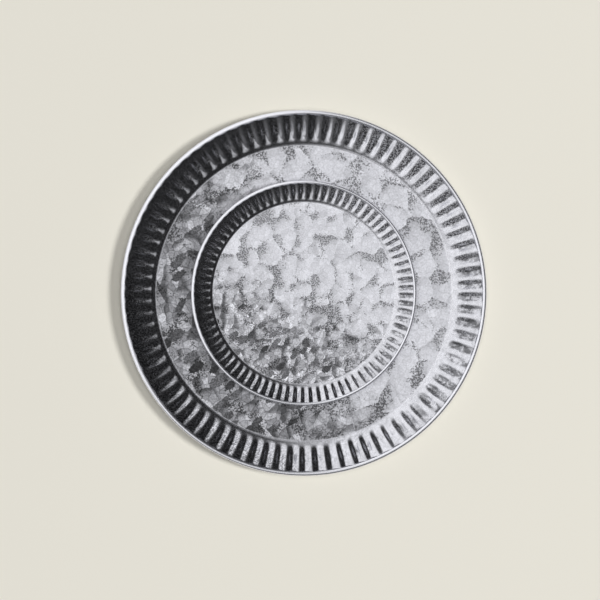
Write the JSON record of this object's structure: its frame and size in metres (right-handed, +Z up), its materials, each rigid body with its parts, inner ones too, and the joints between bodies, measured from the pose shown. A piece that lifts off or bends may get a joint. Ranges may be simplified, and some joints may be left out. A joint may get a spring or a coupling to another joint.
{
  "type": "nested serving trays",
  "caption": "Round galvanised steel serving tray with a flared fluted wall and a wired rolled rim, with a smaller matching tray resting in it that lifts out.",
  "frame": {"origin": "centre of the large tray's flat underside, on the surface that the pair stands on", "axes": "+Z up along the common axis of both trays, +X to the right and +Y to the top of the picture"},
  "size_m": [0.3298, 0.3298, 0.0159],
  "materials": {
    "galvanised_sheet": "hot-dip galvanised sheet with a visible zinc spangle, satin",
    "steel_wire": "bright drawn steel wire, hidden in the rolled rim"
  },
  "bodies": {
    "large_tray": {"large_tray_pan": "galvanised_sheet", "large_tray_rim_wire": "steel_wire"},
    "small_tray": {"small_tray_pan": "galvanised_sheet", "small_tray_rim_wire": "steel_wire"}
  },
  "joints": [
    {"name": "small_tray_lift", "type": "slide", "parent": "large_tray", "child": "small_tray", "axis": [0, 0, 1], "range_m": [0, 0.12]}
  ]
}
